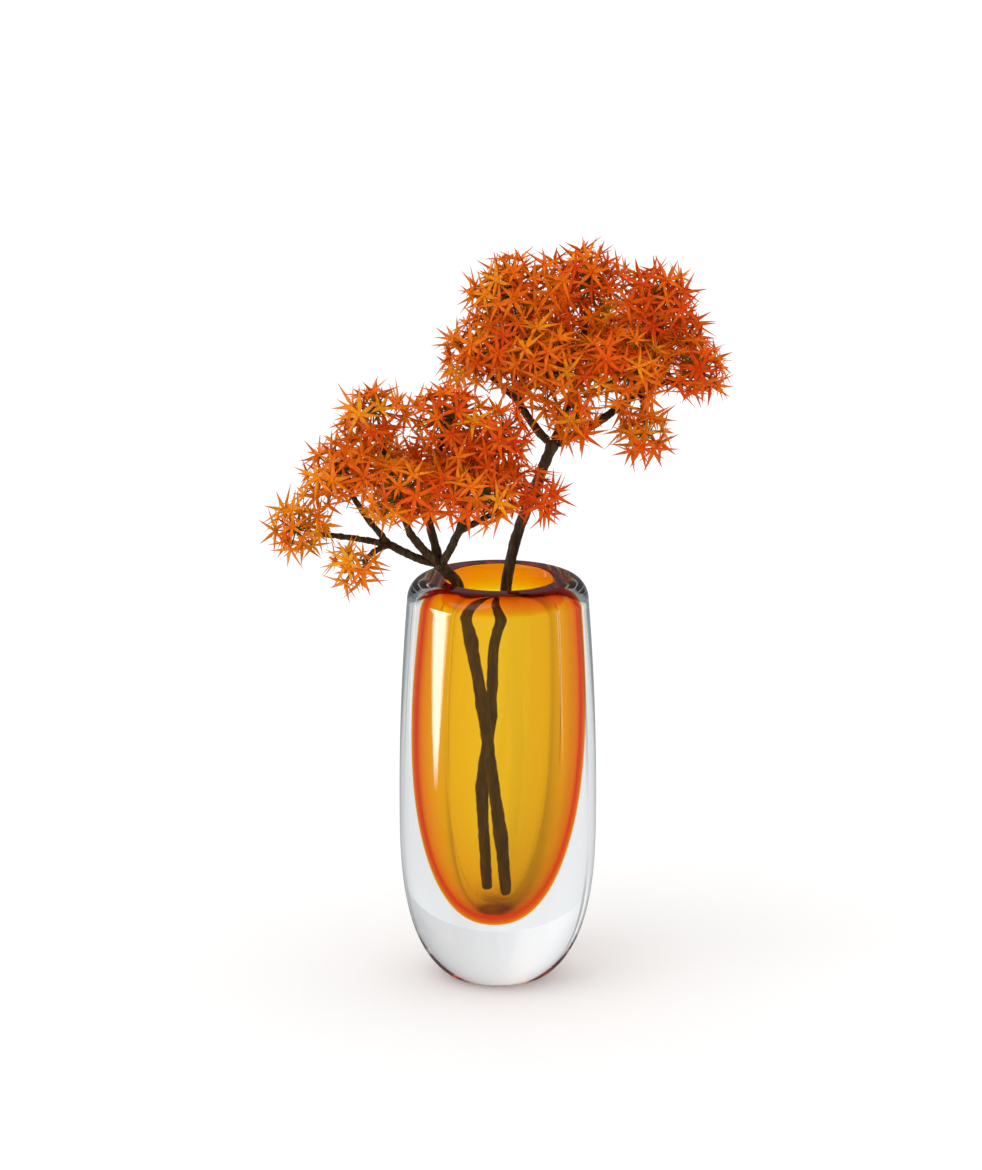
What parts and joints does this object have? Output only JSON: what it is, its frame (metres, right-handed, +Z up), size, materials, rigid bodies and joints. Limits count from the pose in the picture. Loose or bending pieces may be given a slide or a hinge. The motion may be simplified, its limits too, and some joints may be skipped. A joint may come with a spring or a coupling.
{
  "type": "bud vase",
  "caption": "Thick cased-glass bud vase, clear over amber, with two woody flowering stems that lift out of its mouth.",
  "frame": {"origin": "centre of the flat face of the vase's foot, on the surface that it stands on", "axes": "+Z up along the vase's axis, +X to the right and -Y towards the viewer of the front; the tall stem leans to +X and +Y, the short one to -X and -Y"},
  "size_m": [0.1983, 0.1247, 0.3208],
  "materials": {
    "clear_glass": "polished",
    "amber_glass": "polished",
    "stem_bark": "matte",
    "blossom": "matte"
  },
  "bodies": {
    "vase": {"clear_casing": "clear_glass", "amber_liner": "amber_glass"},
    "tall_stem": {"tall_bough_left": "stem_bark", "tall_bough_middle": "stem_bark", "tall_bough_right": "stem_bark", "tall_cluster_back_left": "blossom", "tall_cluster_back_outer_right": "blossom", "tall_cluster_back_right": "blossom", "tall_cluster_front_left": "blossom", "tall_cluster_front_right": "blossom", "tall_cluster_low_middle": "blossom", "tall_cluster_low_right": "blossom", "tall_cluster_outer_left": "blossom", "tall_cluster_outer_right": "blossom", "tall_cluster_top_left": "blossom", "tall_cluster_top_middle": "blossom", "tall_cluster_top_right": "blossom", "tall_main_stem": "stem_bark"},
    "short_stem": {"short_bough_left": "stem_bark", "short_bough_middle": "stem_bark", "short_bough_outer": "stem_bark", "short_bough_right": "stem_bark", "short_cluster_back_left": "blossom", "short_cluster_back_right": "blossom", "short_cluster_far_left": "blossom", "short_cluster_front_left": "blossom", "short_cluster_front_right": "blossom", "short_cluster_low_left": "blossom", "short_cluster_outer_left": "blossom", "short_cluster_outer_right": "blossom", "short_cluster_top_left": "blossom", "short_cluster_top_middle": "blossom", "short_cluster_top_right": "blossom", "short_main_stem": "stem_bark"}
  },
  "joints": [
    {"name": "tall_lift", "type": "slide", "parent": "vase", "child": "tall_stem", "axis": [0.0561, 0.0521, 0.9971], "range_m": [0, 0.15]},
    {"name": "short_lift", "type": "slide", "parent": "vase", "child": "short_stem", "axis": [-0.1103, -0.0501, 0.9926], "range_m": [0, 0.15]}
  ]
}
